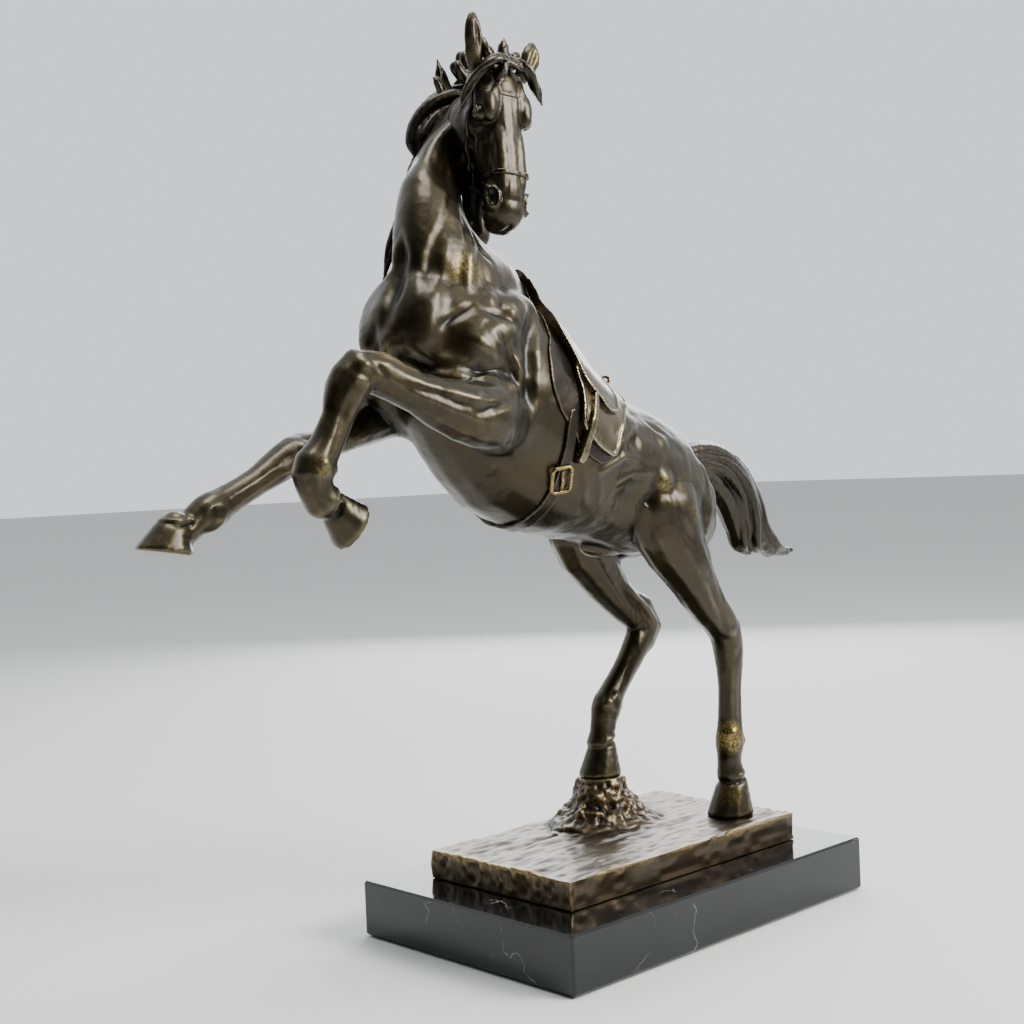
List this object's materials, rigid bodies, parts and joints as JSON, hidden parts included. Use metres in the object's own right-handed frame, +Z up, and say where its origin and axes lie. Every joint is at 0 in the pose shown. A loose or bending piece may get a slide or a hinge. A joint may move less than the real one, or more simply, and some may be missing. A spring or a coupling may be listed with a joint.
{
  "type": "horse statue",
  "caption": "Rearing cast-bronze horse with flying mane, saddle and bridle on a rough bronze ground, bolted to a rectangular black marble base with a felt underside.",
  "frame": {"origin": "centre of the felt's underside, on the surface that the statue stands on", "axes": "+X the way the horse faces, +Y its left side, +Z up"},
  "size_m": [0.5828, 0.203, 0.62],
  "materials": {
    "bronze": "waxed dark brown patina, rubbed lighter on the raised forms",
    "dark_bronze": "near-black patina, satin",
    "saddle_bronze": "olive-brown patina with rubbed edges",
    "ground_bronze": "rough tooled patina with a bright rubbed edge",
    "marble": "polished black marble with thin white veins",
    "felt": "dark green felt",
    "steel": "zinc-plated steel fasteners"
  },
  "bodies": {
    "root": {"forequarters": "bronze", "hindquarters": "bronze", "neck": "bronze", "head": "bronze", "tail": "bronze", "left_foreleg": "bronze", "right_foreleg": "bronze", "left_hind_leg": "bronze", "right_hind_leg": "bronze", "mane": "dark_bronze", "flying_lock": "dark_bronze", "spike_lock": "dark_bronze", "poll_lock": "dark_bronze", "forelock": "dark_bronze", "saddle_pad": "dark_bronze", "girth": "dark_bronze", "noseband": "dark_bronze", "left_cheek_strap": "dark_bronze", "right_cheek_strap": "dark_bronze", "saddle": "saddle_bronze", "billet_strap": "saddle_bronze", "girth_buckle": "saddle_bronze", "buckle_tongue": "saddle_bronze", "cantle_stud": "saddle_bronze", "ground": "ground_bronze", "marble_base": "marble", "felt_underlay": "felt", "base_bolt_1": "steel", "base_bolt_2": "steel", "base_bolt_3": "steel", "base_bolt_4": "steel", "base_washer_1": "steel", "base_washer_2": "steel", "base_washer_3": "steel", "base_washer_4": "steel", "left_hoof_stud": "steel", "left_stud_washer": "steel", "left_stud_nut": "steel", "right_hoof_stud": "steel", "right_stud_washer": "steel", "right_stud_nut": "steel"}
  },
  "joints": []
}
